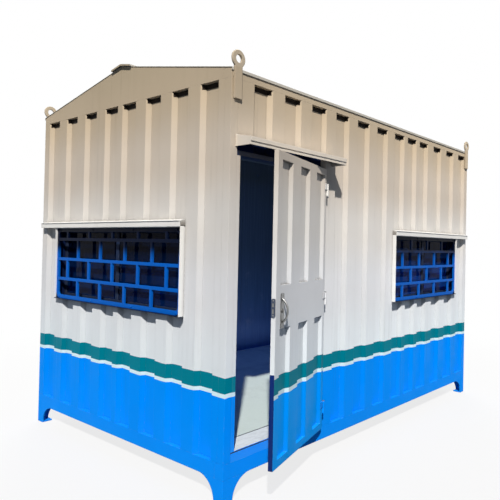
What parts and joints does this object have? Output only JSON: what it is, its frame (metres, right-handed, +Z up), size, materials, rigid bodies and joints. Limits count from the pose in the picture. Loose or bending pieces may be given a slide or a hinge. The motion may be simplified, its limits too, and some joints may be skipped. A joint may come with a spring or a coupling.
{
  "type": "site office container",
  "caption": "Gable-roofed steel site office with fluted walls, a hinged door with rain hood, grilled windows, lifting eyes and curved corner feet.",
  "frame": {"origin": "middle of the plan box at ground level, with the door ajar as it rests", "axes": "+X along the long walls to the right, +Y from the door's wall to the rear, +Z up"},
  "size_m": [3.724, 2.7739, 2.971],
  "materials": {
    "wall_paint": "satin",
    "roof_paint": "satin",
    "blue_paint": "gloss",
    "grille_paint": "gloss",
    "lining": "matte",
    "floor": "satin",
    "sash_metal": "satin",
    "glass": "gloss",
    "steel": "satin"
  },
  "bodies": {
    "building": {"base_rails_long": "blue_paint", "base_rails_end": "blue_paint", "floor_bearers": "blue_paint", "floor_deck": "floor", "corner_feet": "blue_paint", "corner_posts": "wall_paint", "eave_rails": "wall_paint", "left_gable": "wall_paint", "right_gable": "wall_paint", "lifting_eyes": "wall_paint", "front_sheet_over_door": "wall_paint", "front_sheet_middle": "wall_paint", "front_sheet_over_window": "wall_paint", "front_sheet_under_window": "wall_paint", "front_sheet_end": "wall_paint", "left_sheet_front": "wall_paint", "left_sheet_over_window": "wall_paint", "left_sheet_under_window": "wall_paint", "left_sheet_rear": "wall_paint", "rear_sheet": "wall_paint", "right_sheet": "wall_paint", "front_lining": "lining", "left_lining": "lining", "rear_lining": "lining", "right_lining": "lining", "ceiling": "lining", "roof_front": "roof_paint", "roof_rear": "roof_paint", "ridge_cap": "roof_paint", "door_frame": "wall_paint", "rain_hood": "wall_paint", "front_window_surround": "wall_paint", "front_window_grille": "grille_paint", "front_window_sashes": "sash_metal", "front_window_glass": "glass", "left_window_surround": "wall_paint", "left_window_grille": "grille_paint", "left_window_sashes": "sash_metal", "left_window_glass": "glass", "hinge_brackets": "steel"},
    "door": {"door_leaf": "wall_paint", "leaf_hinges": "steel", "pull_handle": "steel", "door_lock": "steel"}
  },
  "joints": [
    {"name": "door_hinge", "type": "hinge", "parent": "building", "child": "door", "pos_m": [-0.858, -1.10554, 1.2245], "axis": [0, 0, 1], "range_deg": [-17.5, 147.5]}
  ]
}
